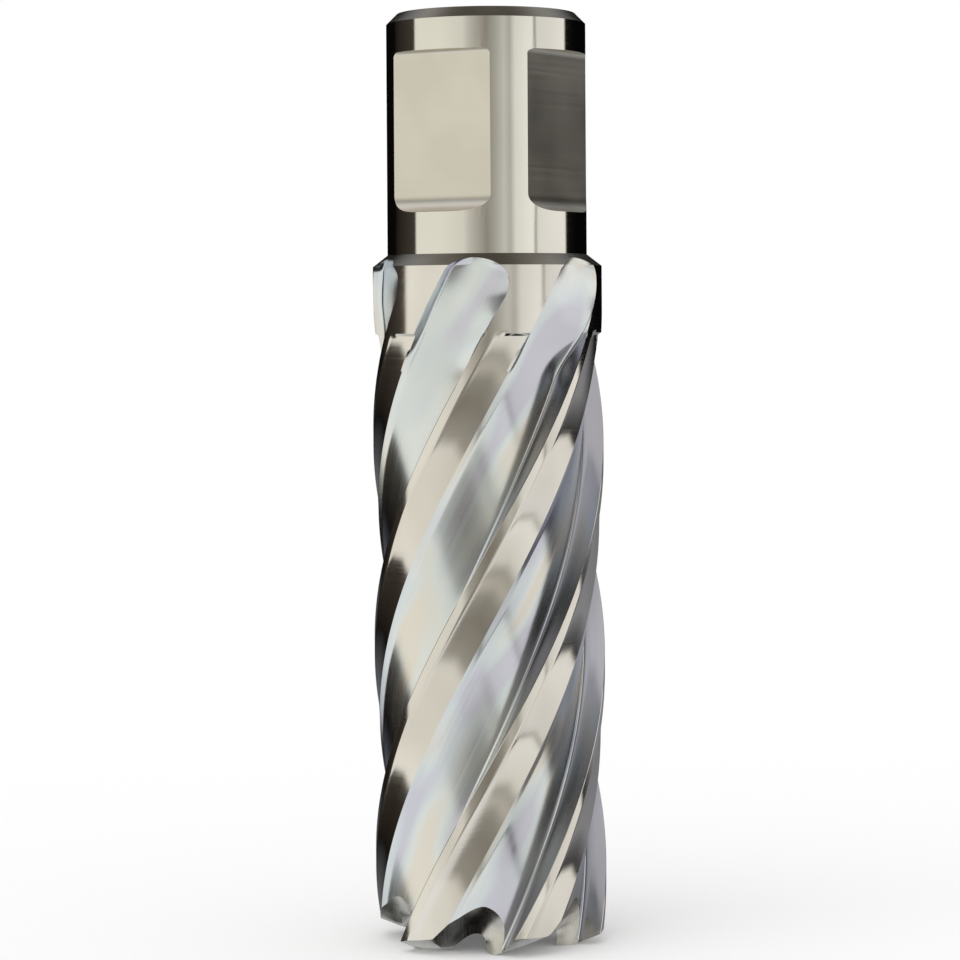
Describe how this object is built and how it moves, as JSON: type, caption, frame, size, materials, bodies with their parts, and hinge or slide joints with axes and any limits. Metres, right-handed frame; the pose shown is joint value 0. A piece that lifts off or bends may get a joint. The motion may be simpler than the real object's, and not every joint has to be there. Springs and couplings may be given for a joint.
{
  "type": "annular cutter",
  "caption": "Hollow core-drilling cutter with a side-lock shank, a collar, right-hand helical flutes and a gulleted toothed end.",
  "frame": {"origin": "on the cutter's axis, level with the tooth tips that it stands on", "axes": "+Z along the axis from the teeth to the shank's end; -Y is the front, between the two drive flats, 32 degrees round from the first flat's middle"},
  "size_m": [0.022, 0.022, 0.0882],
  "materials": {
    "ground_steel": "ground"
  },
  "bodies": {
    "root": {"annular_cutter": "ground_steel"}
  },
  "joints": []
}
